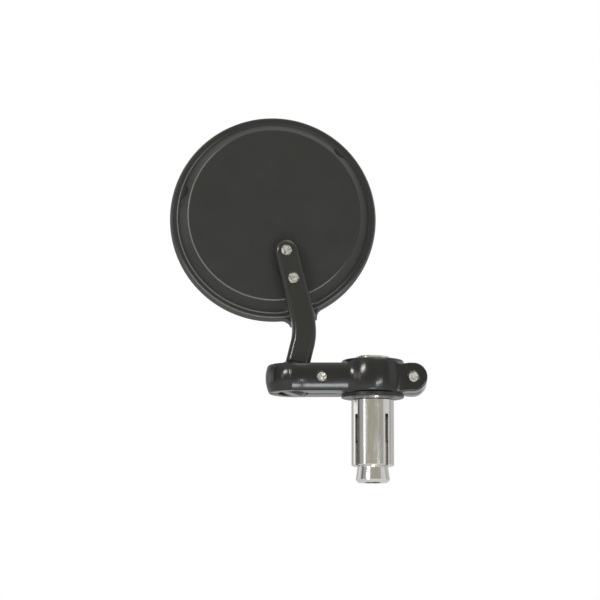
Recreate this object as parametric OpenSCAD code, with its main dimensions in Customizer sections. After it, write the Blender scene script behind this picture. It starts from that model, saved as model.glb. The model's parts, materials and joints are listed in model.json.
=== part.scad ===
// Bar end mirror: a round mirror head on a cranked stem. The stem stands on a ball held between
// two clamp halves, and the same halves grip the neck of an expanding plug for a handlebar's end.
// Origin: on the plug's axis, at the upper end of the sleeve's full diameter, a relief groove's
// width below the collar. The head stands a little turned on its ball. +Z points out of the bar,
// -Y is the side that shows the back of the head, and the mirror glass faces +Y.

/* [Plug] */
// Outer diameter of the expanding sleeve
sleeve_d = 16.5; // [16:0.1:18]
// Length of the sleeve below the collar
sleeve_len = 25.3; // [22:0.1:32]
// Width of the four saw cuts in the sleeve
saw_w = 1.5; // [1:0.1:2]
// Length of solid sleeve above the saw cuts
saw_start = 5.6; // [4:0.1:9]
// Turn of the saw cuts about the plug's axis
saw_turn = 40.5; // [0:0.5:90]
// Diameter of the neck that the clamp grips
neck_d = 13.2; // [13:0.1:13.6]
// Height of the neck's top
neck_top = 17.1; // [16.8:0.1:18]
// Diameter of the collar
collar_d = 24.2; // [22:0.1:25]
// Height of the collar's underside
collar_z0 = 0.95; // [0.85:0.05:1.1]
// Height of the collar's top
collar_z1 = 2.6; // [2.4:0.1:2.6]

/* [Cone nut] */
// Radius of the cone where it enters the sleeve
cone_r = 5.8; // [5.4:0.05:5.9]
// Radius gained for each millimetre down the cone
cone_slope = 0.129; // [0.1:0.001:0.14]
// Length of cone inside the sleeve
cone_in = 9.8; // [8:0.1:11]
// Length of cone standing out of the sleeve
cone_out = 6.3; // [5:0.1:8]

/* [Clamp] */
// Distance from the plug's axis to the ball's centre
ball_reach = 30.75; // [30.5:0.05:36]
// Radius of the ring round the ball
ball_ring_r = 10.65; // [10:0.05:11]
// Half the width of the bar between the rings
bar_half_w = 10; // [9.5:0.1:10]
// Radius of the ring round the neck
neck_ring_r = 12.8; // [12.2:0.1:13.5]
// Height of the clamp's underside
clamp_z0 = 2.7; // [2.7:0.1:2.9]
// Height of the bar's top
bar_z1 = 14; // [13.6:0.1:14.6]
// Height of the neck ring's top
ring_z1 = 15.75; // [15:0.05:16.2]
// Distance from the plug's axis to the outer clamp screw
ear_x = 15.7; // [15.4:0.1:17]
// Radius of the round end of the ear
ear_r = 5.3; // [5:0.1:5.4]
// Half the width of the ear
ear_half_w = 8.5; // [8:0.1:9]
// Distance from the plug's axis to the inner clamp screw
inner_screw_x = 19.5; // [19:0.1:19.8]
// Gap between the two clamp halves
split_gap = 1.4; // [0.8:0.1:2]

/* [Ball joint] */
// Radius of the ball
ball_r = 7.5; // [7.3:0.05:7.6]
// Distance from the ball's centre to its flat
ball_flat = 5.9; // [5.6:0.1:6.4]
// Height of the ball's centre
ball_z = 8.5; // [8.3:0.1:8.7]
// Wall of the nylon seat round the ball
seat_wall = 0.65; // [0.5:0.05:0.65]
// Turn of the head on the ball, about the upright
head_turn = 3.6; // [0:0.1:10]
// Tip of the head on the ball, towards the side that the glass faces
head_tip = 0.6; // [0:0.1:2]

/* [Stem] */
// Lean of each straight run of the stem from upright
stem_lean = 13.9; // [12:0.1:15]
// Distance along the lower run from the ball's centre to the corner
lower_run = 20.2; // [20:0.1:26]
// Distance along the upper run from the corner to the lower screw
upper_run = 20.1; // [19:0.1:22]
// Distance between the two head screws
screw_pitch = 11.2; // [10:0.1:13]
// Bend radius of the stem's centre line at the corner
bend_r = 26; // [20:0.5:30]
// Width of the stem
stem_w = 9.4; // [9:0.1:9.6]
// Thickness of the stem
stem_t = 7; // [6.6:0.1:7]

/* [Head] */
// Diameter of the housing
head_d = 80.9; // [79:0.1:82]
// Depth of the housing from its flat back to its rim
head_depth = 12.5; // [12:0.1:13.5]
// Distance of the head's centre from the plug's axis
head_x = 38; // [37:0.1:40]
// Height of the head's centre
head_z = 73.5; // [72:0.1:76]
// Radius of the flat disc in the housing's back
disc_r = 34; // [33:0.1:34.2]
// Depth of the ledge behind the disc
ledge_y = 7.1; // [6.5:0.1:7.4]
// Wall of the housing's floor
floor_t = 2; // [1.8:0.1:2.2]
// Direction of the lug under the stem
lug_turn = 73.1; // [72:0.1:75]

/* [Hidden] */
$fn = 96;
BLACK = [0.15, 0.15, 0.15];
SATIN_BLACK = [0.2, 0.2, 0.19];
BRIGHT = [0.78, 0.78, 0.76];
STEEL = [0.62, 0.63, 0.64];
NYLON = [0.85, 0.84, 0.78];
FOAM = [0.3, 0.3, 0.32];
RUBBER = [0.08, 0.08, 0.08];
GLASS = [0.7, 0.8, 0.86];

// Clearances
run_gap = 0.05;      // turning fits, on the radius
thread_gap = 0.03;   // screws in their threads, on the radius
nut_gap = 0.12;      // cone in the sleeve, on the radius
join_len = 0.3;      // overlap of two runs that make one piece
join_step = 0.02;    // how much smaller the bend and the end cap are than the straight runs

// Plug
sleeve_r = sleeve_d / 2;
neck_r = neck_d / 2;
collar_r = collar_d / 2;
collar_edge = 0.3;     // rounding of the collar's lower edge
relief_r = 7.8;        // relief groove between the sleeve and the collar
relief_z = 0.45;
head_well_r = 5.3;     // well for the expander screw's head
head_well_z = 9.6;
cavity_r = 4.9;        // straight bore of the sleeve
cavity_top = 4.5;      // solid web below the collar's underside
screw_r = 3;           // M6
screw_len = 40;
screw_head_r = 5;
screw_head_h = 6;
big_washer_h = 1;
screw_head_z = head_well_z + big_washer_h;
cone_bottom = sleeve_len + cone_out;
cone_top_r = cone_r - cone_in * cone_slope;
cone_end_r = cone_r + cone_out * cone_slope;
cone_chamfer = 0.9;
key_w = saw_w - 0.2;
key_r = 5.9;
taper_start = sleeve_len - (cone_r + nut_gap - cavity_r) / cone_slope;

// Clamp
barrel_r = 14;         // bulge of the bar's and the ball ring's sides
ring_barrel_r = 26;    // bulge of the neck ring's side
bar_mid = 8.8;         // height of the widest line
socket_r = ball_r + seat_wall + 2 * run_gap;
mouth_r = 7.2;         // opening over the ball
drain_r = 5.85;        // opening under the ball
seat_lo = -4.7;        // ends of the seat, from the ball's centre
seat_hi = 3.3;
seat_end_gap = 0.1;
seat_slit = 1;
lip_w = 1.5;           // land at the outer end where the halves touch
m4_r = 2;
m4_clear_r = 2.2;
cap_r = 3.5;           // M4 socket head
cap_h = 4;
cap_well_r = 3.75;
lock_washer_h = 0.9;
clamp_screw_z = 8.4;
inner_seat_y = 4.9;    // floors of the screw wells
outer_seat_y = 4.2;
inner_screw_len = 16;
outer_screw_len = 14;
ear_chamfer = 0.5;
ear_z = 8.3;

// Stem
stem_corner = 1.8;     // rounding of the stem's long edges
corner_x = -ball_reach + lower_run * sin(stem_lean);
corner_z = ball_z + lower_run * cos(stem_lean);
bend_cut = bend_r * tan(stem_lean);    // from the corner to each end of the bend
foot_start = 5;        // the foot reaches down round the ball
foot_ball_gap = 0.05;
stud_r = 3;
stud_len = 18;         // from the ball's centre

// Head: depths are counted from the flat back, which lies on the stem
head_r = head_d / 2;
back_y = stem_t / 2;
cone_foot_r = 37.6;    // where the cone wall meets the ledge
ledge_r = 39.8;
rim_inner_r = 38.6;
seat_y = 9.4;
seat_inner_r = 35.4;
inner_floor_r = 31.6;
pocket_r = 3.2;
pocket_at_r = 37.5;
pocket_y = 5.8;
pocket_turns = [-164.5, -44.7];
lug_end_r = 43.3;
lug_half_w = 5;
lug_fillet = 4;
lug_depth = head_depth - ledge_y - 0.5;
rib_half_w = 4.2;      // rib from the disc to the lug, under the stem
rib_end_r = 42.8;
rib_y = 0.1;
pan_r = 3.8;
pan_h = 2.5;
head_screw_len = 10;
small_washer_h = 0.8;
small_washer_r = 4.4;
foam_h = 0.8;
foam_outer_r = 37.4;
foam_inner_r = 35.8;
glass_r = 37.7;
glass_t = 1.8;
glass_crown = 0.6;
seal_lip_r = 37.1;
seal_lip_h = 0.5;

// Points of an arc about c, from angle a0 to a1
function arc(c, r, a0, a1, n = 6) =
    [for (i = [0:n]) let (a = a0 + (a1 - a0) * i / n) c + r * [cos(a), sin(a)]];

// Local +Z becomes +Y
module facing_back() {
    rotate([-90, 0, 0]) children();
}

// Half of an upright section whose outer side bulges: width w, heights z0 to z1
module barrel_half(w, z0, z1, z_mid, bulge_r) {
    intersection() {
        translate([w - bulge_r, z_mid]) circle(r = bulge_r, $fn = 180);
        translate([0, z0]) square([w, z1 - z0]);
    }
}

module washer(r, bore_r, h) {
    difference() {
        cylinder(r = r, h = h);
        translate([0, 0, -1]) cylinder(r = bore_r, h = h + 2);
    }
}

// Cap screw with its head's underside at z = 0 and its shank pointing down
module cap_screw(r, len, head_r, head_h, key_across) {
    tip = r * 0.15;
    key_depth = head_h * 0.55;
    difference() {
        union() {
            cylinder(r = head_r, h = head_h - tip);
            translate([0, 0, head_h - tip]) cylinder(r1 = head_r, r2 = head_r - tip, h = tip);
            translate([0, 0, tip - len]) cylinder(r = r, h = len - tip);
            translate([0, 0, -len]) cylinder(r1 = r - tip, r2 = r, h = tip);
        }
        translate([0, 0, head_h - key_depth])
            cylinder(r = key_across / 2 / cos(30), h = key_depth + 1, $fn = 6);
    }
}

// Pan head screw with a cross recess, set like the cap screw
module pan_screw(r, len, head_r, head_h) {
    crown = 0.8;
    slot_w = 1;
    slot_len = 4.4;
    slot_depth = 1.3;
    difference() {
        union() {
            rotate_extrude()
                polygon(concat([[0, 0], [head_r, 0], [head_r, head_h - crown]],
                    [for (i = [1:5]) let (a = i * 15)
                        [head_r * cos(a), head_h - crown + crown * sin(a)]],
                    [[0, head_h]]));
            translate([0, 0, -len]) cylinder(r = r, h = len);
        }
        for (a = [0, 90])
            rotate([0, 0, a]) translate([-slot_len / 2, -slot_w / 2, head_h - slot_depth])
                cube([slot_len, slot_w, slot_depth + 1]);
    }
}

// Plug pieces

// One turned piece: sleeve, web and neck, with four saw cuts in the sleeve
module expander_sleeve() {
    color(BRIGHT) difference() {
        rotate_extrude() polygon([
            [screw_r + 0.2, head_well_z],
            [screw_r + 0.2, -cavity_top],
            [cavity_r, -cavity_top],
            [cavity_r, -taper_start],
            [cone_r + nut_gap, -sleeve_len],
            [sleeve_r - 0.3, -sleeve_len],
            [sleeve_r, -sleeve_len + 0.3],
            [sleeve_r, 0],
            [relief_r, relief_z],
            [relief_r, collar_z0],
            [neck_r, collar_z0],
            [neck_r, neck_top - 0.3],
            [neck_r - 0.3, neck_top],
            [head_well_r, neck_top],
            [head_well_r, head_well_z]]);
        for (i = [0:3])
            rotate([0, 0, saw_turn + 90 * i])
                translate([0, -saw_w / 2, -sleeve_len - 1])
                    cube([sleeve_r + 1, saw_w, sleeve_len + 1 - saw_start]);
    }
}

// Cone that spreads the sleeve, with a key for each saw cut
module cone_nut() {
    color(BRIGHT) difference() {
        union() {
            rotate_extrude() polygon([
                [0, -sleeve_len + cone_in],
                [cone_top_r, -sleeve_len + cone_in],
                [cone_end_r, -cone_bottom + cone_chamfer],
                [cone_end_r - cone_chamfer, -cone_bottom],
                [0, -cone_bottom]]);
            for (i = [0:3])
                rotate([0, 0, saw_turn + 90 * i])
                    translate([cone_top_r - 1, -key_w / 2, -cone_bottom + cone_chamfer])
                        cube([key_r - cone_top_r + 1, key_w, cone_out + cone_in - cone_chamfer - 1]);
        }
        translate([0, 0, -cone_bottom - 1])
            cylinder(r = screw_r + thread_gap, h = cone_out + cone_in + 2);
    }
}

module expander_screw() {
    color(STEEL) translate([0, 0, screw_head_z])
        cap_screw(screw_r, screw_len, screw_head_r, screw_head_h, 5);
}

module expander_washer() {
    color(STEEL) translate([0, 0, head_well_z])
        washer(screw_head_r + 0.1, screw_r + 0.2, big_washer_h);
}

// Flange that stops against the end of the handlebar
module bar_end_collar() {
    color(BLACK) rotate_extrude() polygon(concat(
        [[neck_r + run_gap, collar_z0]],
        arc([collar_r - collar_edge, collar_z0 + collar_edge], collar_edge, -90, 0, 3),
        [[collar_r, collar_z1 - 0.2], [collar_r - 0.2, collar_z1], [neck_r + run_gap, collar_z1]]));
}

// Clamp pieces

module bar_section() {
    barrel_half(bar_half_w, clamp_z0 + 0.3, bar_z1, bar_mid, barrel_r);
    mirror([1, 0]) barrel_half(bar_half_w, clamp_z0 + 0.3, bar_z1, bar_mid, barrel_r);
}

// Lug beside the neck ring, with bevelled long edges and a round outer end
module ear() {
    flat = ear_half_w - ear_chamfer;
    inset = ear_r - ear_chamfer;
    translate([neck_r + 2, 0, ear_z]) rotate([90, 0, 90])
        linear_extrude(ear_x - neck_r - 2) polygon([
            [-flat, -ear_r], [flat, -ear_r], [ear_half_w, -inset], [ear_half_w, inset],
            [flat, ear_r], [-flat, ear_r], [-ear_half_w, inset], [-ear_half_w, -inset]]);
    translate([ear_x, 0, ear_z]) facing_back() rotate([0, 0, -90])
        rotate_extrude(angle = 180) polygon([
            [0, -ear_half_w], [inset, -ear_half_w], [ear_r, -flat],
            [ear_r, flat], [inset, ear_half_w], [0, ear_half_w]]);
}

// Both halves as one block, with the ball's socket and the neck's bore
module clamp_block() {
    difference() {
        union() {
            translate([-ball_reach, 0, 0]) rotate_extrude()
                barrel_half(ball_ring_r, clamp_z0 + 0.3, bar_z1, bar_mid, barrel_r);
            translate([-ball_reach, 0, 0]) rotate([90, 0, 90])
                linear_extrude(ball_reach - neck_r - 2) bar_section();
            rotate_extrude() barrel_half(neck_ring_r, clamp_z0, ring_z1, bar_mid, ring_barrel_r);
            ear();
        }
        translate([0, 0, -1]) cylinder(r = neck_r + run_gap, h = ring_z1 + 3);
        translate([-ball_reach, 0, ball_z]) {
            intersection() {
                sphere(r = socket_r);
                translate([-ball_reach, -ball_reach, seat_lo - seat_end_gap])
                    cube([2 * ball_reach, 2 * ball_reach, seat_hi - seat_lo + 2 * seat_end_gap]);
            }
            cylinder(r = mouth_r, h = ball_z + 1);
            translate([0, 0, -ball_z]) cylinder(r = drain_r, h = ball_z);
        }
    }
}

// One half: side -1 is the front, +1 the rear. The halves touch at the outer end's land.
module clamp_half(side) {
    far = 60;
    land_x = -ball_reach - ball_ring_r + lip_w;
    difference() {
        intersection() {
            clamp_block();
            translate([-far, side < 0 ? -far : 0, -1]) cube([2 * far, far, far]);
        }
        translate([land_x, -split_gap / 2, -2]) cube([2 * far, split_gap, far]);
        children();
    }
}

module clamp_front() {
    color(BLACK) clamp_half(-1)
        for (x = [-inner_screw_x, ear_x])
            translate([x, -20, clamp_screw_z]) facing_back()
                cylinder(r = m4_r + thread_gap, h = 40);
}

module screw_well(x, seat_y) {
    translate([x, -1, clamp_screw_z]) facing_back() cylinder(r = m4_clear_r, h = 20);
    translate([x, seat_y, clamp_screw_z]) facing_back() cylinder(r = cap_well_r, h = 20);
}

module clamp_rear() {
    color(BLACK) clamp_half(1) {
        screw_well(-inner_screw_x, inner_seat_y);
        screw_well(ear_x, outer_seat_y);
    }
}

module clamp_screw(x, seat_y, len) {
    color(STEEL) translate([x, seat_y + lock_washer_h, clamp_screw_z]) facing_back()
        cap_screw(m4_r, len, cap_r, cap_h, 3);
}

module clamp_washer(x, seat_y) {
    color(STEEL) translate([x, seat_y, clamp_screw_z]) facing_back()
        washer(cap_r, m4_clear_r, lock_washer_h);
}

module clamp_screw_inner() {
    clamp_screw(-inner_screw_x, inner_seat_y, inner_screw_len);
}

module clamp_screw_outer() {
    clamp_screw(ear_x, outer_seat_y, outer_screw_len);
}

module clamp_washer_inner() {
    clamp_washer(-inner_screw_x, inner_seat_y);
}

module clamp_washer_outer() {
    clamp_washer(ear_x, outer_seat_y);
}

// Ball joint

// Split nylon liner between the ball and the two halves
module ball_seat() {
    color(NYLON) translate([-ball_reach, 0, ball_z]) difference() {
        intersection() {
            sphere(r = ball_r + run_gap + seat_wall);
            translate([-20, -20, seat_lo]) cube([40, 40, seat_hi - seat_lo]);
        }
        sphere(r = ball_r + run_gap);
        translate([0, -seat_slit / 2, -20]) cube([20, seat_slit, 40]);
    }
}

// Turns children about the ball's centre, as the head stands on it
module turned_on_ball() {
    translate([-ball_reach, 0, ball_z]) rotate([-head_tip, 0, head_turn])
        translate([ball_reach, 0, -ball_z]) children();
}

// Places children at the ball's centre with +Z along the stem's lower run
module on_lower_run() {
    translate([-ball_reach, 0, ball_z]) rotate([0, stem_lean, 0]) children();
}

module ball_stud() {
    color(SATIN_BLACK) turned_on_ball() on_lower_run() {
        difference() {
            sphere(r = ball_r);
            translate([-20, -20, -20 - ball_flat]) cube([40, 40, 20]);
        }
        cylinder(r = stud_r, h = stud_len - 0.5);
        translate([0, 0, stud_len - 0.5]) cylinder(r1 = stud_r, r2 = stud_r - 0.5, h = 0.5);
    }
}

// Stem

// Cross-section of the stem: across and through it, with rounded long edges
module stem_section(inset = 0) {
    w = stem_w / 2 - stem_corner;
    t = stem_t / 2 - stem_corner;
    square([stem_w - 2 * inset, 2 * t], center = true);
    square([2 * w, stem_t - 2 * inset], center = true);
    for (x = [-w, w], y = [-t, t])
        translate([x, y]) circle(r = stem_corner - inset, $fn = 48);
}

// Two straight runs, the bend between them and the rounded upper end
module stem_bar() {
    upper_len = upper_run + screw_pitch - bend_cut;
    on_lower_run() translate([0, 0, foot_start])
        linear_extrude(lower_run - bend_cut - foot_start + join_len) stem_section();
    translate([corner_x - bend_r / cos(stem_lean), 0, corner_z])
        facing_back() rotate([0, 0, -stem_lean])
            rotate_extrude(angle = 2 * stem_lean)
                translate([bend_r, 0]) stem_section(join_step);
    translate([corner_x, 0, corner_z]) rotate([0, -stem_lean, 0]) {
        translate([0, 0, bend_cut - join_len])
            linear_extrude(upper_len + 2 * join_len) stem_section();
        translate([0, 0, bend_cut + upper_len]) facing_back() rotate([0, 0, 180])
            rotate_extrude(angle = 180) intersection() {
                stem_section(join_step);
                translate([0, -stem_t]) square([stem_w, 2 * stem_t]);
            }
    }
}

module stem() {
    color(SATIN_BLACK) turned_on_ball() difference() {
        stem_bar();
        on_lower_run() {
            sphere(r = ball_r + foot_ball_gap);
            cylinder(r = stud_r + run_gap, h = stud_len + 1);
        }
        for (i = [0, 1])
            at_head_screw(i) translate([0, 0, -20])
                cylinder(r = m4_r + thread_gap, h = 40);
    }
}

// Places children at a head screw's axis, 0 for the lower and 1 for the upper, +Z to the rear
module at_head_screw(i) {
    run = upper_run + i * screw_pitch;
    translate([corner_x - run * sin(stem_lean), 0, corner_z + run * cos(stem_lean)])
        facing_back() children();
}

// Head

// Places children at the centre of the housing's flat back, +Z to the rear
module at_head() {
    translate([-head_x, back_y, head_z]) facing_back() children();
}

// Lug where the rim runs down under the stem, seen along the head's axis, with hollow flanks
module lug_outline() {
    flank_x = lug_half_w + lug_fillet;
    flank_y = sqrt(pow(head_r + lug_fillet, 2) - pow(flank_x, 2));
    foot_turn = atan2(flank_y, flank_x) + 180;
    flank = concat([[lug_half_w, lug_end_r]],
        arc([flank_x, flank_y], lug_fillet, 180, foot_turn - 8, 9),
        [[flank_x - 1, rim_inner_r - 1]]);
    polygon(concat(flank, [for (i = [len(flank) - 1:-1:0]) [-flank[i][0], flank[i][1]]]));
}

module housing() {
    edge = 0.6;
    color(BLACK) turned_on_ball() difference() {
        union() {
            at_head() rotate_extrude() polygon(concat(
                [[0, 0]],
                arc([disc_r - edge, edge], edge, -90, -28, 4),
                [[cone_foot_r, ledge_y]],
                arc([ledge_r - edge, ledge_y + edge], edge, -90, -9, 4),
                [[head_r, head_depth - 2], [head_r, head_depth - 0.3],
                    [head_r - 0.3, head_depth], [0, head_depth]]));
            at_head() rotate([0, 0, lug_turn - 90]) {
                translate([0, 0, ledge_y]) linear_extrude(lug_depth) lug_outline();
                translate([-rib_half_w, inner_floor_r, rib_y])
                    cube([2 * rib_half_w, rib_end_r - inner_floor_r, ledge_y]);
            }
        }
        at_head() {
            rotate_extrude() polygon([
                [0, floor_t], [inner_floor_r, floor_t], [seat_inner_r, seat_y],
                [rim_inner_r, seat_y], [rim_inner_r, head_depth + 1], [0, head_depth + 1]]);
            for (a = pocket_turns)
                rotate([0, 0, a]) translate([pocket_at_r, 0, -1])
                    cylinder(r = pocket_r, h = pocket_y + 1);
        }
        for (i = [0, 1])
            at_head_screw(i) cylinder(r = m4_clear_r, h = 20);
    }
}

module head_screw(i) {
    color(STEEL) turned_on_ball() at_head_screw(i)
        translate([0, 0, back_y + floor_t + small_washer_h])
            pan_screw(m4_r, head_screw_len, pan_r, pan_h);
}

module head_washer(i) {
    color(STEEL) turned_on_ball() at_head_screw(i)
        translate([0, 0, back_y + floor_t])
            washer(small_washer_r, m4_clear_r, small_washer_h);
}

module head_screw_upper() {
    head_screw(1);
}

module head_screw_lower() {
    head_screw(0);
}

module head_washer_upper() {
    head_washer(1);
}

module head_washer_lower() {
    head_washer(0);
}

// Foam ring that the glass is stuck down on
module glass_pad() {
    color(FOAM) turned_on_ball() at_head() translate([0, 0, seat_y])
        washer(foam_outer_r, foam_inner_r, foam_h);
}

// Convex mirror glass with a flat back
module mirror_glass() {
    steps = 8;
    back = seat_y + foam_h;
    color(GLASS) turned_on_ball() at_head() rotate_extrude() polygon(concat(
        [[0, back], [glass_r, back]],
        [for (i = [0:steps]) let (r = glass_r * (1 - i / steps))
            [r, back + glass_t + glass_crown * (1 - pow(r / glass_r, 2))]]));
}

// Rubber ring round the glass, with a lip over its edge
module rim_seal() {
    lip_y = seat_y + foam_h + glass_t + 0.05;
    color(RUBBER) turned_on_ball() at_head() rotate_extrude() polygon([
        [glass_r + 0.05, seat_y], [rim_inner_r, seat_y], [rim_inner_r, lip_y + seal_lip_h],
        [seal_lip_r, lip_y + seal_lip_h], [seal_lip_r, lip_y], [glass_r + 0.05, lip_y]]);
}

expander_sleeve();
cone_nut();
expander_screw();
expander_washer();
bar_end_collar();
clamp_front();
clamp_rear();
clamp_screw_inner();
clamp_screw_outer();
clamp_washer_inner();
clamp_washer_outer();
ball_seat();
ball_stud();
stem();
housing();
head_screw_upper();
head_screw_lower();
head_washer_upper();
head_washer_lower();
glass_pad();
mirror_glass();
rim_seal();
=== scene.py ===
# %% [markdown]
# A bar end mirror, dressed for a still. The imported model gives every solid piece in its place, in
# metres. This script adds the looks: painted castings with their real fillets, a turned and slotted
# plug, plated screw ends and a silvered glass. Everything stays in the frame's own coordinates, so
# nothing is ever fitted by eye.

# %% Load the frame
import json
import math

import bpy
import numpy as np
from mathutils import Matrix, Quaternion, Vector


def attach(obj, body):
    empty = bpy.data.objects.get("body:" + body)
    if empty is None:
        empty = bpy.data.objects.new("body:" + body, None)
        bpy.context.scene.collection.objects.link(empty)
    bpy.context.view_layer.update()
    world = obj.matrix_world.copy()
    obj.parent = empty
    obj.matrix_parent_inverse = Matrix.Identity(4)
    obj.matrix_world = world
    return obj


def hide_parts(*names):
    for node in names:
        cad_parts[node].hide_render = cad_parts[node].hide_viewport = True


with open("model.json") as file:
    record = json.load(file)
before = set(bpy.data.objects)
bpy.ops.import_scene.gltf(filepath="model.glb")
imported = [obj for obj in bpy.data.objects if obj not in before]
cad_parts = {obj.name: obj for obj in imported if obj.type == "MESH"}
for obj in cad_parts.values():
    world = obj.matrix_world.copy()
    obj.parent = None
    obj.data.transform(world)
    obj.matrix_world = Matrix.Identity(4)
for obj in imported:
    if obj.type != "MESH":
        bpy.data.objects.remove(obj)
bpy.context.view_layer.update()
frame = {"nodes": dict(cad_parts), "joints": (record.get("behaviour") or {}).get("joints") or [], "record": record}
print("pieces in the frame:", len(frame["nodes"]))

# %% [markdown]
# The drawing works in millimetres, as the real object is dimensioned, and each finished mesh is
# scaled once on its way into Blender. The head stands a little turned on its ball, as it was left in
# the photo. The joints' axes give that turn, so the head and the stem can be drawn square and then
# turned. Their places come from the solid pieces, turned back square.

# %% Places read from the frame
MM = 0.001


def joint_named(name):
    """The record's entry for one joint."""
    return next(j for j in frame["joints"] if j["name"] == name)


def turn_matrix(turn, tip):
    """Rotation that tips about X and then turns about Z."""
    c, s, ct, st = math.cos(turn), math.sin(turn), math.cos(tip), math.sin(tip)
    return np.array([[c, -s * ct, s * st], [s, c * ct, -c * st], [0, st, ct]])


ball = np.array(joint_named("ball_lean")["pos_m"]) / MM
lean_axis = np.array(joint_named("ball_lean")["axis"])
head_turn = math.atan2(-lean_axis[0], lean_axis[1])
head_tip = math.asin(lean_axis[2])
TURNED = turn_matrix(head_turn, head_tip)


def turned_on_ball(points):
    """Points of the square head, turned about the ball's centre to where the head stands."""
    return (points - ball) @ TURNED.T + ball


def square_box(node):
    """Lowest and highest corner of one of the head's solid pieces, turned back square."""
    solid = frame["nodes"][node]
    flat = np.empty(3 * len(solid.data.vertices))
    solid.data.vertices.foreach_get("co", flat)
    place = np.array(solid.matrix_world)
    points = (flat.reshape(-1, 3) @ place[:3, :3].T + place[:3, 3]) / MM
    square = (points - ball) @ TURNED + ball
    return square.min(axis=0), square.max(axis=0)


def middle(node):
    """Centre of the square box of one of the head's solid pieces."""
    low, high = square_box(node)
    return (low + high) / 2


lean = math.asin((TURNED.T @ np.array(joint_named("stem_twist")["axis"]))[0])
head_at = middle("mirror_glass")
housing_low, housing_high = square_box("housing")
back_y = housing_low[1]
rim_r = (housing_high[0] - housing_low[0]) / 2
head_depth = housing_high[1] - housing_low[1]
print("head turned", round(math.degrees(head_turn), 2), "and tipped", round(math.degrees(head_tip), 2))
print("ball at", ball.round(2), "lean", round(math.degrees(lean), 1), "degrees")
print("head centre", head_at.round(2), "rim radius", round(rim_r, 2), "depth", round(head_depth, 2))

# %% [markdown]
# The camera stands a little lower than the head and looks slightly up, as the visible underside of
# the clamp shows. A long lens from 1.3 m keeps the outlines nearly parallel. Its aim and its field
# come from the width of the view in millimetres at the object.

# %% Camera
VIEW_AIM = np.array([-28.06, 0.0, 39.37])
VIEW_DISTANCE = 1300.0
VIEW_RISE = math.radians(7.78)
VIEW_TURN = math.radians(-0.9)
VIEW_WIDTH = 232.8
SENSOR = 36.0
NEAREST = 10.0


def add_camera():
    """Places the camera on the line through the aim and turns it to look along that line."""
    look = Vector((math.sin(VIEW_TURN) * math.cos(VIEW_RISE),
                   math.cos(VIEW_TURN) * math.cos(VIEW_RISE), math.sin(VIEW_RISE)))
    data = bpy.data.cameras.new("view")
    data.sensor_width = SENSOR
    data.lens = SENSOR * VIEW_DISTANCE / VIEW_WIDTH
    data.clip_start = NEAREST * MM
    camera = bpy.data.objects.new("view", data)
    camera.location = Vector(VIEW_AIM * MM) - look * VIEW_DISTANCE * MM
    camera.rotation_euler = look.to_track_quat("-Z", "Y").to_euler()
    bpy.context.scene.collection.objects.link(camera)
    bpy.context.scene.camera = camera
    print("lens", round(data.lens, 1), "mm, camera at", [round(v, 3) for v in camera.location])


add_camera()

# %% [markdown]
# Shader maths reads best as ordinary expressions. `Value` wraps one socket, and its operators add
# the Math nodes. `Nodes` owns a node tree and adds any other node through a single method, and a
# `Finish` is the tree of one material. A few sockets have to be named by their number, because
# several on the same node share a name.

# %% Shader helpers
DIRECTION, OBJECT = 0, 3
MIX_SHARE, MIX_FIRST, MIX_SECOND, MIX_COLOUR = 0, 6, 7, 2


class Value:
    """A number that varies over a surface, with ordinary arithmetic."""

    def __init__(self, nodes, socket):
        self.nodes = nodes
        self.socket = socket

    def maths(self, operation, first, second):
        """Adds one Math node and wraps its result."""
        return self.nodes.node("ShaderNodeMath", {"operation": operation}, {0: first, 1: second})[0]

    def __add__(self, other):
        return self.maths("ADD", self, other)

    def __radd__(self, other):
        return self.maths("ADD", other, self)

    def __sub__(self, other):
        return self.maths("SUBTRACT", self, other)

    def __rsub__(self, other):
        return self.maths("SUBTRACT", other, self)

    def __mul__(self, other):
        return self.maths("MULTIPLY", self, other)

    def __rmul__(self, other):
        return self.maths("MULTIPLY", other, self)

    def larger(self, other):
        """The larger of two values."""
        return self.maths("MAXIMUM", self, other)

    def step(self, start, end):
        """Rises smoothly from 0 at start to 1 at end."""
        return self.nodes.node("ShaderNodeMapRange", {"interpolation_type": "SMOOTHSTEP"},
                               {"Value": self, "From Min": start, "From Max": end})[0]


class Nodes:
    """A node tree, with one way to add to it."""

    def __init__(self, tree):
        self.tree = tree

    def node(self, kind, settings=None, inputs=None):
        """Adds a node: settings first, then the values or links of its inputs. Returns its outputs."""
        made = self.tree.nodes.new(kind)
        for key, value in (settings or {}).items():
            setattr(made, key, value)
        for key, value in (inputs or {}).items():
            self.feed(made.inputs[key], value)
        return [Value(self, out) for out in made.outputs]

    def feed(self, socket, value):
        """Links a wrapped socket, or sets a plain value."""
        if isinstance(value, Value):
            self.tree.links.new(value.socket, socket)
        else:
            socket.default_value = value

    def mix(self, share, first, second):
        """Mixes two colours by a share."""
        return self.node("ShaderNodeMix", {"data_type": "RGBA"},
                         {MIX_SHARE: share, MIX_FIRST: first, MIX_SECOND: second})[MIX_COLOUR]


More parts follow.
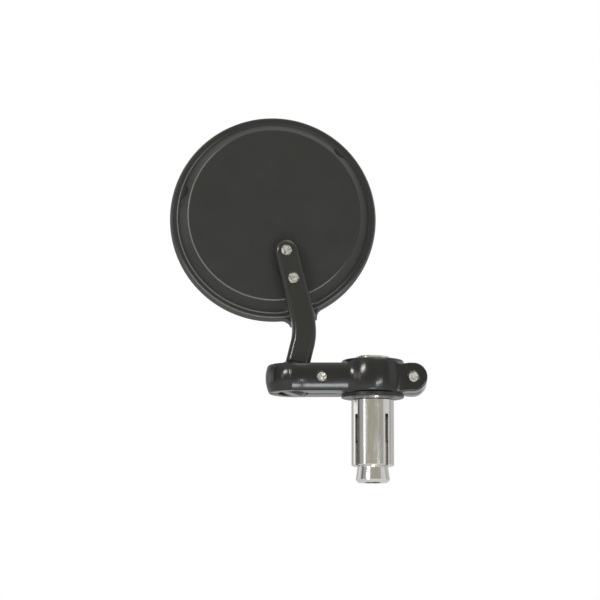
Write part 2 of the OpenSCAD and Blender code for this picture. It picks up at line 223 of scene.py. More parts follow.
class Finish(Nodes):
    """One material: a Principled shader, and the nodes that feed it."""

    def __init__(self, name, **fixed):
        self.material = bpy.data.materials.new(name)
        self.material.use_nodes = True
        super().__init__(self.material.node_tree)
        self.shader = self.tree.nodes["Principled BSDF"]
        for socket, value in fixed.items():
            self.shader.inputs[socket.replace("_", " ")].default_value = value

    def set(self, socket, value):
        """Feeds one input of the shader."""
        self.feed(self.shader.inputs[socket], value)

    def place(self, scale=(1, 1, 1)):
        """Object coordinates in millimetres, stretched by scale."""
        return self.node("ShaderNodeVectorMath", {"operation": "MULTIPLY"},
                         {0: self.node("ShaderNodeTexCoord")[OBJECT],
                          1: tuple(s / MM for s in scale)})[0]

    def noise(self, at, scale, detail=2.0):
        """Cloudy noise from 0 to 1 at a place in millimetres; scale counts features per millimetre."""
        return self.node("ShaderNodeTexNoise", {}, {"Vector": at, "Scale": scale, "Detail": detail})[0]

    def bump(self, height, reach_mm):
        """Turns a height from 0 to 1 into a surface normal; reach_mm is how deep the relief is."""
        self.set("Normal", self.node("ShaderNodeBump", {}, {"Height": height,
                                                            "Distance": reach_mm * MM})[0])


def shades(colour, dark, pale=1.0):
    """A darker and a paler shade of a colour, for the two ends of a mix."""
    return [c * dark for c in colour] + [1], [c * pale for c in colour] + [1]


print("shader helpers ready")

# %% [markdown]
# The castings are painted black: a thin sprayed coat, semi-gloss, that lies over a slightly uneven
# cast skin. At arm's length it is one colour, but its highlights break up a little. So the colour
# hardly varies, and the roughness and a very shallow orange peel do the work. On the housing's
# edges, on the left and low side, the paint is made paler and smoother: a painted highlight, where
# those edges catch the light. Painting that by hand needs an image, but these edges are rings round
# the head's centre, so a formula finds them.

# %% Paint
# Colour and gloss of the painted highlight on the housing's edges
PAINTED_HIGHLIGHT_COLOUR = (0.13, 0.13, 0.12, 1)
PAINTED_HIGHLIGHT_GLOSS = 0.15
GLOSS_SPREAD = 0.06
CLOUD_SIZE, GRAIN_SIZE = 0.12, 5.0
# Painted highlight rings: from and to which radius, over how much each edge fades, how strong
DISC_RING = (33.2, 33.95, 0.25, 1.3)
FOOT_RING = (37.3, 38.0, 0.2, 0.9)
LEDGE_RING = (39.0, 39.8, 0.2, 1.7)


def paint(name, colour, roughness, peel_mm, peel_scale, painted_highlight=None, ior=1.5):
    """Sprayed paint: fine orange peel in the relief and slow clouds in gloss and colour. Where the
    highlight function gives a share from 0 to 1, the paint is made pale and shiny: a painted highlight."""
    f = Finish(name, IOR=ior)
    at = f.place()
    peel = f.noise(at, peel_scale, detail=3.0)
    clouds = f.noise(at, CLOUD_SIZE, detail=3.0)
    grain = f.noise(at, GRAIN_SIZE)
    coat = f.mix(clouds, *shades(colour, 0.86, 1.16))
    gloss = roughness + GLOSS_SPREAD * (clouds - 0.5) + GLOSS_SPREAD * (grain - 0.5)
    # A painted highlight: paler colour and lower roughness along the chosen edges
    if painted_highlight:
        share = painted_highlight(f, grain)
        coat = f.mix(share, coat, PAINTED_HIGHLIGHT_COLOUR)
        gloss = gloss - PAINTED_HIGHLIGHT_GLOSS * share
    f.set("Base Color", coat)
    f.set("Roughness", gloss)
    f.bump(peel + 0.25 * grain, peel_mm)
    return f.material


def ring(r, start, end, fade, strength):
    """A band of the radius r: it rises over fade after start and falls over fade before end."""
    return strength * (r.step(start, start + fade) * (1 - r.step(end - fade, end)))


def housing_edge_highlights(f, grain):
    """Painted highlight rings on the housing: the disc's edge, the wall's foot and, low down, the ledge's edge.

    With p the place from the centre of the head's back, and depth = p . axis, the radius is
    sqrt(|p|^2 - depth^2). The rings keep to the left and lower side, where these edges catch the light."""
    centre = turned_on_ball(head_at - [0, head_at[1], 0])
    from_centre = f.node("ShaderNodeVectorMath", {"operation": "SUBTRACT"},
                         {0: f.place(), 1: tuple(centre)})[0]
    depth = f.node("ShaderNodeVectorMath", {"operation": "DOT_PRODUCT"},
                   {0: from_centre, 1: tuple(TURNED[:, 1])})[1]
    length = f.node("ShaderNodeVectorMath", {"operation": "LENGTH"}, {0: from_centre})[1]
    r = f.node("ShaderNodeMath", {"operation": "SQRT"}, {0: length * length - depth * depth})[0]
    x, _, z = f.node("ShaderNodeSeparateXYZ", {}, {0: from_centre})
    # The side where the edges catch the light: left and low. The rings there are a painted highlight.
    lit_side = (-1 * (x + 0.9 * z)).step(-18, 16)
    low_down = (-1 * z).step(8, 34)
    rings = ring(r, *DISC_RING) + ring(r, *FOOT_RING) + ring(r, *LEDGE_RING) * low_down
    return rings * lit_side * (0.5 + grain)


housing_paint = paint("housing_paint", (0.020, 0.020, 0.0185), roughness=0.42, peel_mm=0.006,
                      peel_scale=0.9, painted_highlight=housing_edge_highlights, ior=1.4)
clamp_paint = paint("clamp_paint", (0.012, 0.012, 0.0115), roughness=0.17, peel_mm=0.006, peel_scale=0.7)
stem_paint = paint("stem_paint", (0.02, 0.02, 0.019), roughness=0.19, peel_mm=0.006, peel_scale=0.8)
collar_black = paint("collar_black", (0.014, 0.014, 0.014), roughness=0.3, peel_mm=0.002, peel_scale=1.5)
print("paints:", [m.name for m in (housing_paint, clamp_paint, stem_paint, collar_black)])

# %% [markdown]
# The plug is turned from bright bar. A lathe leaves rings round the axis, so the relief is a noise
# squeezed along Z: it varies every few hundredths of a millimetre up the plug and hardly at all
# round it. Handling adds faint upright smears, spots and small pits. Screw ends are plated steel
# with a coarse sheared end.

# %% Bare metals
RING_STRETCH = (0.15, 0.15, 9.0)
SMEAR_STRETCH = (0.9, 0.9, 0.12)


def turned(name, colour, roughness):
    """Turned metal: rings across Z, faint smears along it, and small pits."""
    f = Finish(name, Metallic=1.0)
    rings = f.noise(f.place(RING_STRETCH), 1.0, detail=3.0)
    smear = f.noise(f.place(SMEAR_STRETCH), 1.0, detail=4.0)
    spots = f.noise(f.place(), 0.8, detail=4.0)
    pits = f.noise(f.place(), 3.5).step(0.6, 0.75)
    f.set("Base Color", f.mix(smear, *shades(colour, 0.82)))
    f.set("Roughness", roughness + 0.16 * (smear - 0.5) + 0.14 * (spots - 0.5))
    f.bump(rings + 1.2 * pits, 0.003)
    return f.material


def plated(name, colour, roughness):
    """Zinc plated steel: a fine mottled skin."""
    f = Finish(name, Metallic=1.0)
    mottle = f.noise(f.place(), 1.6, detail=4.0)
    f.set("Base Color", f.mix(mottle.step(0.35, 0.65), *shades(colour, 0.4)))
    f.set("Roughness", roughness + 0.2 * (mottle - 0.5))
    f.bump(mottle, 0.2)
    return f.material


bright_metal = turned("turned_aluminium", (0.80, 0.785, 0.755), roughness=0.14)
screw_metal = plated("plated_steel", (0.66, 0.64, 0.59), roughness=0.3)
print("metals:", bright_metal.name, screw_metal.name)

# %% [markdown]
# Four quieter finishes: a nylon seat, foam and rubber behind the glass, and the glass itself. A
# mirror seen from its front is its silver, so it is a smooth metal with a faint green cast.

# %% Nylon, foam, rubber and mirror
def moulded(name, colour, roughness, relief_mm, scale):
    """Moulded plastic, foam or rubber: a matt skin with a fine grain."""
    f = Finish(name, IOR=1.45)
    grain = f.noise(f.place(), scale, detail=3.0)
    f.set("Base Color", f.mix(grain, *shades(colour, 0.85)))
    f.set("Roughness", roughness + 0.15 * (grain - 0.5))
    f.bump(grain, relief_mm)
    return f.material


def silvered(name):
    """Mirror glass: almost perfectly smooth silver."""
    f = Finish(name, Metallic=1.0)
    haze = f.noise(f.place(), 0.05)
    f.set("Base Color", f.mix(haze, [0.84, 0.87, 0.86, 1], [0.88, 0.9, 0.89, 1]))
    f.set("Roughness", 0.015 + 0.02 * haze)
    return f.material


nylon = moulded("seat_nylon", (0.74, 0.72, 0.66), roughness=0.5, relief_mm=0.01, scale=3.0)
foam = moulded("pad_foam", (0.05, 0.05, 0.055), roughness=0.9, relief_mm=0.08, scale=2.0)
rubber = moulded("seal_rubber", (0.016, 0.016, 0.016), roughness=0.62, relief_mm=0.01, scale=3.0)
silver = silvered("mirror_silver")
print("others:", nylon.name, foam.name, rubber.name, silver.name)

# %% [markdown]
# Every solid piece of the frame keeps its mesh and gets the finish of its own slot.

# %% Finishes for the frame's pieces
SLOT_FINISH = {
    "turned_aluminium": bright_metal, "zinc_steel": screw_metal, "black_collar": collar_black,
    "black_clamp": clamp_paint, "black_stem": stem_paint, "black_housing": housing_paint,
    "nylon": nylon, "ball_steel": stem_paint, "foam": foam, "mirror": silver,
    "seal_rubber": rubber,
}
for part in frame["record"]["subparts"]:
    solid = frame["nodes"][part["node"]]
    solid.data.materials.clear()
    solid.data.materials.append(SLOT_FINISH[part["material_slot"]])

# %% [markdown]
# Two ways of making a surface serve every new piece. The first is a surface of two parameters: a
# grid of points, closed round and drawn to a point at both ends, like a paper lantern. It suits
# what is nearly turned, such as the housing and the glass. Spinning a profile with a modifier
# would do as well, but a grid can be stretched and cut afterwards with plain array arithmetic.

# %% Grid surfaces
def add_piece(name, points, faces, finish, body, node, sharp=None):
    """A smooth mesh from points in millimetres and rows of corner numbers. It rides on a body and
    stands for a node. Edges bent by more than sharp degrees stay sharp."""
    mesh = bpy.data.meshes.new(name)
    mesh.from_pydata((np.asarray(points) * MM).tolist(), [], [f for part in faces for f in part.tolist()])
    mesh.shade_smooth()
    if sharp is not None:
        mesh.set_sharp_from_angle(angle=math.radians(sharp))
    mesh.materials.append(finish)
    piece = bpy.data.objects.new(name, mesh)
    bpy.context.scene.collection.objects.link(piece)
    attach(piece, body)
    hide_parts(node)
    print(name, "has", sum(len(p.vertices) - 2 for p in mesh.polygons), "triangles")


def lantern(grid):
    """Faces of a grid of points (rows, columns, 3): columns closed round, first and last row
    each drawn together to one point. Returns the points and the faces."""
    rows, columns = grid.shape[:2]
    points = np.vstack([grid[:1, 0], grid[1:-1].reshape(-1, 3), grid[-1:, 0]])
    ring = 1 + np.arange((rows - 2) * columns).reshape(rows - 2, columns)
    after = np.roll(ring, -1, axis=1)
    quads = np.stack([ring[:-1], after[:-1], after[1:], ring[1:]], axis=-1).reshape(-1, 4)
    first = np.stack([np.zeros_like(ring[0]), after[0], ring[0]], axis=-1)
    last = np.stack([np.full_like(ring[0], len(points) - 1), ring[-1], after[-1]], axis=-1)
    return points, [quads, first, last]


def bend(centre, radius, first, last, count):
    """Points on an arc in a profile: centre + radius (cos a, sin a), degrees."""
    a = np.radians(np.linspace(first, last, count))
    return np.stack([centre[0] + radius * np.cos(a), centre[1] + radius * np.sin(a)], axis=-1)


def line(start, end, count):
    """Points on a line in a profile, its ends included."""
    return np.linspace(start, end, count)


print("grid surfaces ready")

# %% [markdown]
# The second way is for castings, which have fillets everywhere. Bevels on boolean cuts break down
# there, so the metal is written as a distance instead: a formula that is negative inside it. Two
# such formulas blend with a soft minimum, which is what a fillet is. A net is then drawn over the
# place where the distance is zero.

# %% Distance surfaces
GRID_STEP = 0.25
NEWTON_STEPS = 4
PROBE = 0.01
LEAST_SLOPE = 0.25


def soft_or(a, b, reach):
    """Soft minimum: min(a, b) - h^2 reach / 4, where h = max(0, 1 - |a - b| / reach)."""
    h = np.maximum(0.0, 1.0 - np.abs(a - b) / reach)
    return np.minimum(a, b) - h * h * reach / 4


def soft_and(a, b, reach):
    """Soft maximum, the same formula turned over: the metal that is in both."""
    return -soft_or(-a, -b, reach)


def crossings(field, axis):
    """Where a grid's edges along one axis pass through zero, and how far along each edge."""
    one = np.moveaxis(field, axis, 0)
    before, behind = one[:-1], one[1:]
    hit = (before < 0) != (behind < 0)
    along = np.where(hit, before / np.where(hit, before - behind, 1.0), 0.0)
    return np.moveaxis(hit, 0, axis), np.moveaxis(along, 0, axis)


def around(edges, axis):
    """Sums an array on edges along one axis into the cells that share them."""
    for other in range(3):
        if other != axis:
            one = np.moveaxis(edges, other, 0)
            edges = np.moveaxis(one[:-1] + one[1:], 0, other)
    return edges


def cell_points(field):
    """One point for each cell that the surface passes through: the mean of its edges' crossings,
    counted in grid steps. Returns the points, each cell's number, and the edges that cross."""
    count = 0.0
    total = [0.0, 0.0, 0.0]
    hits = []
    for axis in range(3):
        hit, along = crossings(field, axis)
        hits.append(hit)
        count = count + around(hit.astype(float), axis)
        for other in range(3):
            shape = [1, 1, 1]
            shape[other] = -1
            at = np.arange(hit.shape[other], dtype=float).reshape(shape)
            place = hit * (at + (along if other == axis else 0.0))
            total[other] = total[other] + around(place, axis)
    cell = count > 0
    number = np.full(cell.shape, -1)
    number[cell] = np.arange(cell.sum())
    return np.stack([t[cell] / count[cell] for t in total], axis=-1), number, hits


def edge_quads(field, number, hit, axis):
    """A quad through the four cells round each edge that crosses, wound to face outwards."""
    u, v = [k for k in range(3) if k != axis]
    at = np.argwhere(hit)
    at = at[(at[:, u] > 0) & (at[:, v] > 0)]
    corners = []
    for du, dv in ((1, 1), (0, 1), (0, 0), (1, 0)):
        near = at.copy()
        near[:, u] -= du
        near[:, v] -= dv
        corners.append(number[tuple(near.T)])
    face = np.stack(corners, axis=-1)
    inside = field[tuple(at.T)] < 0
    flip = inside if axis == 1 else ~inside
    face[flip] = face[flip][:, ::-1]
    return face


def settle(points, distance, step):
    """Moves points onto the surface by Newton's step p - d g / |g|^2, a few times over, where d is
    the distance and g its gradient, measured a short probe to each side."""
    for _ in range(NEWTON_STEPS):
        slope = np.stack([(distance(*(points + probe).T) - distance(*(points - probe).T)) / (2 * PROBE)
                          for probe in np.eye(3) * PROBE], axis=-1)
        square = np.maximum((slope ** 2).sum(axis=1), LEAST_SLOPE)
        move = slope * (distance(*points.T) / square)[:, None]
        points = points - np.clip(move, -step / 2, step / 2)
    return points


def skin(distance, low, high, step=GRID_STEP):
    """The surface distance(x, y, z) = 0 in a box, as points and quads.

    Each cell of a grid that the surface passes through gets one point, and each edge that crosses
    it gets a quad. The points are then settled onto the true surface."""
    axes = [np.arange(a, b + step, step) for a, b in zip(low, high)]
    sparse = np.meshgrid(*axes, indexing="ij", sparse=True)
    field = distance(*sparse) + sum(0.0 * a for a in sparse)
    places, number, hits = cell_points(field)
    points = np.array([a[0] for a in axes]) + step * places
    quads = [edge_quads(field, number, hits[axis], axis) for axis in range(3)]
    return settle(points, distance, step), quads


print("distance surfaces ready, grid step", GRID_STEP)

# %% [markdown]
# The housing is a shallow casting: a flat disc, a cone wall down to a narrow ledge, and a rounded
# rim. Moulding pins left two pockets in the wall. Below, a lug runs out under the stem, and a rib
# behind the stem fills the step between them. Here the profile is carried round the centre. Its
# outer part is stretched to the outline of the lug, and the rib is blended in with a soft minimum.

# %% Housing
DISC_R = 33.4
WALL_TOP, WALL_FOOT = (34.07, 0.57), (37.34, 6.62)
FOOT_R = 37.86
LEDGE_R, LEDGE_DEPTH = 39.2, 7.1
EDGE_ROUND = 0.6
RIM_FOOT, RIM_SHOULDER = (39.86, 7.9), (40.36, 10.1)
RIM_ROUND, RIM_EDGE = 1.0, 0.4
SEAT_R, SEAT_DEPTH = 38.6, 9.4
BACK_WALL = 2.0
LUG_TURN = math.radians(-73.6)
LUG_HALF = 5.4
LUG_END = 43.3
LUG_FILLET = 4.0
STRETCH_FROM, STRETCH_OVER = 33.0, 5.0
RIB_HALF, RIB_END, RIB_DEPTH = 4.2, 41.9, 0.1
RIB_FILLET = 1.2
NO_RIB = 30.0
POCKET_TURNS = [math.radians(164.5), math.radians(44.7)]
POCKET_AT, POCKET_R, POCKET_FLOOR = 37.9, 3.0, 5.8
POCKET_FLANK = 0.12


def wrapped(angle):
    """An angle brought between minus and plus half a turn."""
    return (angle + math.pi) % (2 * math.pi) - math.pi


def outline(turn):
    """Radius of the head's outline: the rim's circle, two concave flanks and the lug's end."""
    off = np.abs(turn)
    far = rim_r + LUG_FILLET
    tilt = math.asin((LUG_HALF + LUG_FILLET) / far)
    under = LUG_FILLET ** 2 - (far * np.sin(off - tilt)) ** 2
    flank = np.where(off < tilt, far * np.cos(off - tilt) - np.sqrt(np.maximum(under, 0)), rim_r)
    flank = np.where((off < tilt) & (under < 0), LUG_END + LUG_FILLET, flank)
    return soft_and(np.minimum(soft_or(flank, LUG_END, 0.6), LUG_END), rim_r, 0.3)


def housing_profile():
    """The section as (radius, depth), in three stretches: the flat disc, the rest of the back as
    far as the front edge, and the inside from the glass's seat to the centre."""
    flat = np.vstack([line((0, 0), (31.6, 0), 12), line((32, 0), (33.2, 0), 5)])
    side = np.vstack([
        bend((DISC_R, EDGE_ROUND), EDGE_ROUND, -90, -28, 8), line(WALL_TOP, WALL_FOOT, 40),
        bend((FOOT_R, LEDGE_DEPTH - EDGE_ROUND), EDGE_ROUND, 180 - 12, 90, 7)[1:],
        line((38.1, LEDGE_DEPTH), (39.05, LEDGE_DEPTH), 6),
        bend((LEDGE_R, LEDGE_DEPTH + EDGE_ROUND), EDGE_ROUND, -90, -13, 12),
        line(RIM_FOOT, RIM_SHOULDER, 9), bend((rim_r - RIM_ROUND, 10.5), RIM_ROUND, -13, 0, 3),
        bend((rim_r - RIM_EDGE, head_depth - RIM_EDGE), RIM_EDGE, 0, 90, 7)])
    inside = np.vstack([
        line((39.6, head_depth), (SEAT_R, head_depth), 3), line((SEAT_R, 12.0), (SEAT_R, SEAT_DEPTH), 5),
        line((38.0, SEAT_DEPTH), (35.4, SEAT_DEPTH), 5), line((35.2, 9.0), (31.6, BACK_WALL), 10),
        line((31.0, BACK_WALL), (0, BACK_WALL), 10)])
    return flat, side, inside


def housing_turns():
    """Angles of the grid's columns: even ones, and closer ones at the lug and the pockets."""
    fine = np.radians(np.concatenate([np.arange(0, 14, 0.16), np.arange(14, 22, 0.5)]))
    pockets = [a + np.radians(np.arange(-6, 6, 0.2)) for a in POCKET_TURNS]
    busy = np.concatenate([LUG_TURN + fine, LUG_TURN - fine[1:]] + pockets)
    coarse = np.radians(np.arange(0, 360, 0.9))
    gap = np.abs(wrapped(coarse[:, None] - busy[None])).min(axis=1)
    return np.unique(np.concatenate([busy, coarse[gap > 0.008]]) % (2 * math.pi))


def rib_depth(radius, turn):
    """Depth of the rib's face below the stem: level, and falling away past its flanks and end."""
    across = np.abs(radius * np.sin(turn - LUG_TURN)) - RIB_HALF
    along = radius * np.cos(turn - LUG_TURN)
    side = 7 * np.maximum(across, 0) + 12 * np.maximum(along - RIB_END, 0)
    return np.where(along > 20, RIB_DEPTH + side, NO_RIB)


def housing_grid():
    """Grid of the housing: rows follow the profile from the back's centre to the front's."""
    flat, side, inside = housing_profile()
    back = len(flat) + len(side)
    profile = np.vstack([flat, side, inside])
    turn = housing_turns()
    r, depth = profile[:, 0][:, None], profile[:, 1][:, None]
    outer = np.clip((r - STRETCH_FROM) / STRETCH_OVER, 0, 1)
    outer[back:] = 0
    stretch = outline(wrapped(turn - LUG_TURN)) / rim_r - 1
    radius = r * (1 + stretch[None] * outer * outer * (3 - 2 * outer))
    depth = depth + 0 * radius
    depth[:back] = soft_or(depth[:back], rib_depth(radius, turn)[:back], RIB_FILLET)
    depth[:len(flat)] = 0
    for a in POCKET_TURNS:
        gap = np.hypot(radius * np.cos(turn) - POCKET_AT * math.cos(a),
                       radius * np.sin(turn) - POCKET_AT * math.sin(a))
        cut = np.maximum(depth, POCKET_FLOOR) - depth
        cut[back:] = 0
        depth = depth + cut * np.clip((POCKET_R - gap) / POCKET_FLANK + 0.5, 0, 1)
    return np.stack([head_at[0] + radius * np.cos(turn), back_y + depth,
                     head_at[2] + radius * np.sin(turn)], axis=-1)


points, faces = lantern(housing_grid())
add_piece("housing_shell", turned_on_ball(points), faces, housing_paint, "head",
          "housing", sharp=35)

# %% [markdown]
# The glass is slightly convex, so that it shows more of the road, and its ground edge is rounded. A
# mirror shows every flat facet, so the visible glass is one smooth surface: its front stands
# crown (1 - r^2 / R^2) proud of its edge.

# %% Mirror glass
GLASS_R, GLASS_BACK, GLASS_EDGE, GLASS_CROWN = 37.7, 10.2, 12.0, 0.6
GROUND = 0.3


def glass_grid():
    """Grid of the glass: its flat back, its ground edge and its convex front."""
    flat_r = GLASS_R - GROUND
    r = np.linspace(flat_r, 0, 60)
    front = np.stack([r, GLASS_EDGE + GLASS_CROWN * (1 - (r / GLASS_R) ** 2)], axis=-1)
    profile = np.vstack([line((0, GLASS_BACK), (flat_r, GLASS_BACK), 12),
                         bend((flat_r, GLASS_BACK + GROUND), GROUND, -80, 0, 5),
                         bend((flat_r, GLASS_EDGE - GROUND), GROUND, 0, 80, 5), front])
    turn = np.radians(np.arange(0, 360, 1.5))
    radius, depth = profile[:, 0][:, None], profile[:, 1][:, None]
    return np.stack([head_at[0] + radius * np.cos(turn), back_y + depth + 0 * turn,
                     head_at[2] + radius * np.sin(turn)], axis=-1)


points, faces = lantern(glass_grid())
add_piece("glass_face", turned_on_ball(points), faces, silver, "head", "mirror_glass",
          sharp=60)

# %% [markdown]
# The stem is a flat bar with rounded edges, cranked once. Its edges are a little rounder low down,
# where it was ground to meet the ball. Seen from the front it is the set of points nearer than
# half its width to a bent line, so its distance is that of a bent line, closed in front and
# behind by two planes with rounded corners. The threaded screw ends come through it, each in a
# shallow round sink.

# %% Stem
STEM_HALF, STEM_T = 4.7, 3.5
STEM_START = 5.2
BEND_R = 26.0
LOWER_RUN = 20.2
LOWER_SHIFT = 0.26
WAIST = 0.12
FRONT_ROUND, FRONT_ROUND_MORE = 1.95, 0.2
BACK_ROUND, BACK_ROUND_MORE = 0.9, 0.9
SINK_R, SINK_FLOOR, SINK_EDGE = 2.06, -2.6, 0.25
HEAD_SCREWS = [middle("head_screw_lower"), middle("head_screw_upper")]
corner = ball + LOWER_RUN * np.array([math.sin(lean), 0, math.cos(lean)])
upper_run = float(np.hypot(HEAD_SCREWS[1][0] - corner[0], HEAD_SCREWS[1][2] - corner[2]))
print("stem corner", corner.round(2), "upper run", round(upper_run, 2))


def stem_distance(x, y, z):
    """Distance to the bent bar, less than 0 inside.

    Across the face it is the distance to the lower run, to the upper run, or between them to an
    arc, less half the width. The corners of the section are rounded by the distance to a
    rectangle: |max(s, 0)| + min(max(s), 0) - rounding, with s the two sides moved in."""
    sine, cosine = math.sin(lean), math.cos(lean)
    shift = LOWER_SHIFT * np.clip((corner[2] + 6 - z) / 10, 0, 1)
    dx, dz = x - corner[0] - shift, z - corner[2]
    cut = BEND_R * math.tan(lean)
    below, above = dx * sine + dz * cosine, -dx * sine + dz * cosine
    lower, upper = below < -cut, above > cut
    arc = np.hypot(dx + BEND_R / cosine, dz) - BEND_R
    across = np.where(lower, dx * cosine - dz * sine, np.where(upper, dx * cosine + dz * sine, arc))
    run = np.where(lower, below, np.where(upper, above, 0.5 * (below + above)))
    width = STEM_HALF - WAIST * np.clip((run + 6) / 8, 0, 1) * np.clip((10 - run) / 8, 0, 1)
    side = np.hypot(np.abs(across), np.maximum(above - upper_run, 0) * upper) - width
    side = np.maximum(side, STEM_START - LOWER_RUN - below)
    low_down = np.clip((4 - run) / 8, 0, 1)
    rounding = np.where(y < 0, FRONT_ROUND + FRONT_ROUND_MORE * low_down,
                        BACK_ROUND + BACK_ROUND_MORE * low_down)
    side, face = side + rounding, np.abs(y) - STEM_T + rounding
    d = np.hypot(np.maximum(side, 0), np.maximum(face, 0)) + np.minimum(np.maximum(side, face), 0)
    d = d - rounding
    for at in HEAD_SCREWS:
        sink = np.maximum(np.hypot(x - at[0], z - at[2]) - SINK_R, y - SINK_FLOOR)
        d = soft_and(d, -sink, SINK_EDGE)
    return d


points, faces = skin(stem_distance, (-39.5, -4.0, 12.5), (-20.0, 4.0, 64.5))
add_piece("stem_arm", turned_on_ball(points), faces, stem_paint, "head", "stem")

# %% [markdown]
# The clamp is one casting sawn in two. A barrel-sided bar joins a ring round the ball to a taller
# ring round the plug's neck, and an ear on the far side takes the second screw. All of it flows
# together with small fillets, so the distances are blended before the holes are cut. The barrel
# sides are wide arcs: a point's distance to a far line or ring, less the arc's radius.

# %% Clamp
CLAMP_MID = 8.8
BARREL_R = 14.0
BALL_RING_R, BAR_HALF = 10.65, 10.3
NECK_BARREL_R, NECK_RING_R = 26.0, 12.8
UNDERSIDE, NECK_UNDERSIDE = 2.75, 2.7
BAR_TOP, NECK_TOP = 14.0, 15.75
BAR_SAG, EAR_SAG = 0.045, 0.035
EAR_X, EAR_Z, EAR_R, EAR_HALF = 15.55, 8.15, 5.5, 8.5
BORE_R = 6.65
SOCKET_R, SOCKET_FLOOR, SOCKET_TOP = 8.25, 3.7, 11.9
MOUTH_R, DRAIN_R = 7.2, 5.85
RING_FILLET, NECK_FILLET, EAR_FILLET = 1.5, 1.3, 1.6
BAR_EDGE, NECK_EDGE, EAR_EDGE, SMALL_EDGE = 1.1, 0.9, 0.6, 0.5


def clamp_outside(x, y, z):
    """Distance to the whole casting, solid: rings, bar and ear blended together."""
    from_ball, from_neck, lift = np.hypot(x - ball[0], y), np.hypot(x, y), z - CLAMP_MID
    ring = np.hypot(from_ball + BARREL_R - BALL_RING_R, lift) - BARREL_R
    bar = np.hypot(np.abs(y) + BARREL_R - BAR_HALF, lift) - BARREL_R
    bar = np.maximum(np.maximum(bar, ball[0] - x), x + 3)
    under = UNDERSIDE - BAR_SAG * y * np.clip((from_neck - 12.5) / 3, 0, 1) - z
    low_block = soft_and(soft_or(ring, bar, RING_FILLET), under, SMALL_EDGE)
    low_block = soft_and(low_block, z - BAR_TOP, BAR_EDGE)
    tall = soft_and(np.hypot(from_neck + NECK_BARREL_R - NECK_RING_R, lift) - NECK_BARREL_R,
                    np.maximum(NECK_UNDERSIDE - z, z - NECK_TOP), NECK_EDGE)
    sag = EAR_SAG * y * np.clip((x - 12) / 2, 0, 1)
    ear = np.hypot(x - np.clip(x, 0, EAR_X), z - EAR_Z + sag) - EAR_R
    ear = soft_and(ear, np.abs(y) - EAR_HALF, EAR_EDGE)
    return soft_or(soft_or(low_block, tall, NECK_FILLET), ear, EAR_FILLET)


def clamp_block(x, y, z):
    """Distance to the casting with its bore and its ball socket, before it is sawn."""
    from_ball, from_neck = np.hypot(x - ball[0], y), np.hypot(x, y)
    block = soft_and(clamp_outside(x, y, z), BORE_R - from_neck, SMALL_EDGE)
    socket = np.sqrt(from_ball ** 2 + (z - ball[2]) ** 2) - SOCKET_R
    socket = np.maximum(socket, np.maximum(z - SOCKET_TOP, SOCKET_FLOOR - z))
    mouth = np.maximum(from_ball - MOUTH_R, ball[2] - z)
    drain = np.maximum(from_ball - DRAIN_R, z - ball[2])
    return soft_and(block, -np.minimum(np.minimum(socket, mouth), drain), SMALL_EDGE)


print("clamp bar, front to back:", round(2 * BAR_HALF, 1), "mm")

# %% [markdown]
# The saw cut leaves the halves touching only at the land beyond the ball. The half towards the
# camera is threaded, and its screws end flush with its face. The other has clearance holes, and
# wells for the screws' heads.

# %% Clamp halves
SPLIT, SPLIT_EDGE = 0.8, 0.3
LAND_X = -39.9
MATE, MATE_EDGE = 0.03, 0.1
SCREW_Z = 8.4
SCREWS = [
    # place along the bar, floor of the head's well
    (-19.5, 4.9),
    (15.7, 4.2),
]
THREAD_R, THREAD_EDGE = 2.1, 0.3
CLEAR_R, WELL_R, WELL_EDGE = 2.2, 3.75, 0.4


def sawn(x, y, z, facing):
    """Distance to one half: facing is 1 for the half towards the camera, -1 for the other."""
    d = soft_and(clamp_block(x, y, z), facing * y + MATE, MATE_EDGE)
    return soft_and(d, -np.maximum(np.abs(y) - SPLIT, LAND_X - x), SPLIT_EDGE)


def clamp_front_distance(x, y, z):
    """The half nearer the camera: threaded holes, screw ends flush with its face."""
    d = sawn(x, y, z, 1)
    for at, _ in SCREWS:
        d = soft_and(d, THREAD_R - np.hypot(x - at, z - SCREW_Z), THREAD_EDGE)
    return d


def clamp_rear_distance(x, y, z):
    """The far half: clearance holes and the wells of the screw heads."""
    d = sawn(x, y, z, -1)
    for at, floor in SCREWS:
        away = np.hypot(x - at, z - SCREW_Z)
        d = soft_and(d, -np.minimum(away - CLEAR_R, np.maximum(away - WELL_R, floor - y)), WELL_EDGE)
    return d


for node, distance, span in (("clamp_front", clamp_front_distance, (-14, 0.4)),
                             ("clamp_rear", clamp_rear_distance, (-0.4, 14))):
    points, faces = skin(distance, (-43, span[0], 1.5), (23, span[1], 17))
    add_piece(node + "_casting", points, faces, clamp_paint, "clamp", node)

# %% [markdown]
# Painted black and turned metal show only what they mirror, so the studio is laid out by compass
# round the object. Azimuth is counted from the camera, left negative. The room is a formula of
# direction: mid-grey, with a white card on the left whose near edge is dark, a paler one on the
# right and a pale ceiling. Towards the camera it is slightly warm, as the photo's reflections are.
# The soft boxes give the highlights: a key with a dimmer tail on the left, two low ones that draw
# the light bands along the bar and the rings, and a weak one overhead. The camera sees plain white,
# and so do reflections of that same backdrop.

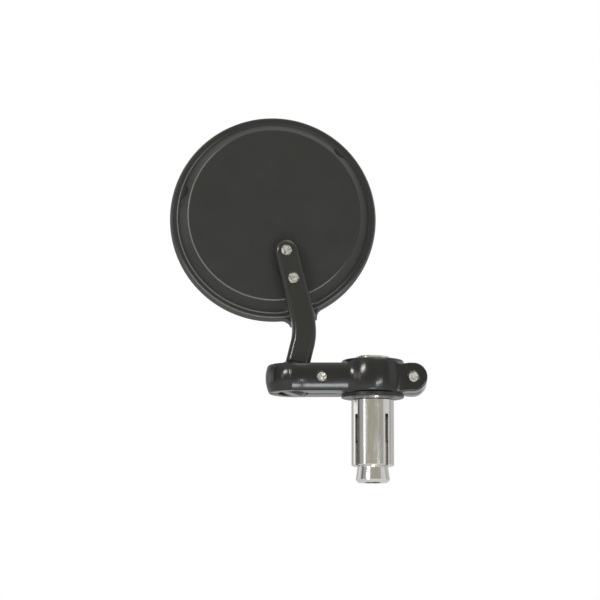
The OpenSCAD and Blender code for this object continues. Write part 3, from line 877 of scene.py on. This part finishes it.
# %% Studio
FLOOR_Z, FLOOR_R, FLOOR_SIDES = -150.0, 3000.0, 96
ROOM_LEVEL = 0.42
ROOM_WARMTH = (1.02, 0.99, 0.84, 1)
CARD_FADE, EDGE_FADE = 3, 6
BACKDROP_HALF = math.radians(14)
LAMP_AIM = (0, 0, 10)
CARDS = [
    # name, azimuths, elevations, level above the room's own
    ("left_white", (-126, -90), (-40, 14), 0.75),
    ("left_edge", (-86, -76), (-60, 40), -0.34),
    ("left_grey", (-180, -126), (-60, 40), 0.12),
    ("right_pale", (60, 102), (-40, 30), 0.36),
    ("right_far", (112, 180), (-40, 40), 0.18),
    ("ceiling", (-180, 180), (30, 90), 0.35),
]
LAMPS = [
    # name, azimuth, elevation, distance, size (width, height), roll, radiance, colour
    ("key", -34, 17, 1000, (230, 130), 25, 24, (1.0, 0.98, 0.94)),
    ("key_tail", -46, 5, 1000, (110, 190), 12, 2.4, (1.0, 0.98, 0.94)),
    ("low_bar", 0, -25, 330, (98, 44), 0, 12, (0.92, 0.97, 1.0)),
    ("low_ring", 22, -7, 520, (190, 26), 16, 22, (0.94, 0.97, 1.0)),
    ("top", 35, 62, 1100, (800, 800), 0, 1.6, (1.0, 1.0, 1.0)),
]


def add_floor():
    """A round pale floor under the object."""
    bpy.ops.mesh.primitive_circle_add(vertices=FLOOR_SIDES, radius=FLOOR_R * MM, fill_type="NGON",
                                      location=(0, 0, FLOOR_Z * MM))
    floor = bpy.context.object
    floor.name = "floor"
    f = Finish("floor_white", Base_Color=(0.8, 0.8, 0.8, 1), Roughness=0.9)
    floor.data.materials.append(f.material)


def add_lamp(name, azimuth, elevation, distance, size, roll, radiance, colour):
    """A soft box round the object, given by compass and by how bright it looks."""
    a, e = math.radians(azimuth), math.radians(elevation)
    away = Vector((math.sin(a) * math.cos(e), -math.cos(a) * math.cos(e), math.sin(e)))
    data = bpy.data.lights.new(name, "AREA")
    data.shape = "RECTANGLE"
    data.size, data.size_y = size[0] * MM, size[1] * MM
    data.energy = radiance * math.pi * data.size * data.size_y
    data.color = colour
    lamp = bpy.data.objects.new(name, data)
    lamp.location = Vector(LAMP_AIM) * MM + away * distance * MM
    aim = (-away).to_track_quat("-Z", "Y")
    lamp.rotation_euler = (aim @ Quaternion((0, 0, 1), math.radians(roll))).to_euler()
    bpy.context.scene.collection.objects.link(lamp)


def between(angle, start, end, fade):
    """1 between two angles and 0 beyond them, fading over fade degrees to each side of both."""
    return angle.step(start - fade, start + fade) * (1 - angle.step(end - fade, end + fade))


def card(azimuth, elevation, wide, tall):
    """Share of one card at a direction. A card that goes all the way round has no upright edges."""
    across = between(azimuth, *wide, CARD_FADE) if wide[1] - wide[0] < 360 else 1.0
    return across * between(elevation, *tall, EDGE_FADE)


def add_world():
    """The room as a formula of direction, and plain white where the camera looks."""
    world = bpy.data.worlds.new("studio")
    world.use_nodes = True
    w = Nodes(world.node_tree)
    toward = w.node("ShaderNodeTexCoord")[DIRECTION]
    x, y, z = w.node("ShaderNodeSeparateXYZ", {}, {0: toward})
    degrees = math.degrees(1)
    azimuth = w.node("ShaderNodeMath", {"operation": "ARCTAN2"}, {0: x, 1: -1 * y})[0] * degrees
    elevation = w.node("ShaderNodeMath", {"operation": "ARCSINE"}, {0: z})[0] * degrees
    room = ROOM_LEVEL
    for _, wide, tall, extra in CARDS:
        room = room + extra * card(azimuth, elevation, wide, tall)
    rays = {ray.socket.name: ray for ray in w.node("ShaderNodeLightPath")}
    backdrop = (y - math.cos(BACKDROP_HALF)).step(0, 0.01)
    mirrored = rays["Is Glossy Ray"].larger(rays["Is Transmission Ray"]) * backdrop
    seen = rays["Is Camera Ray"].larger(mirrored)
    background = w.tree.nodes["Background"]
    warm = (-1 * y).step(0.55, 0.95) * (1 - seen)
    w.feed(background.inputs["Color"], w.mix(warm, (1, 1, 1, 1), ROOM_WARMTH))
    w.feed(background.inputs["Strength"], seen + (1 - seen) * room)
    bpy.context.scene.world = world


add_floor()
add_world()
for lamp in LAMPS:
    add_lamp(*lamp)
bpy.context.scene.view_settings.view_transform = "Standard"
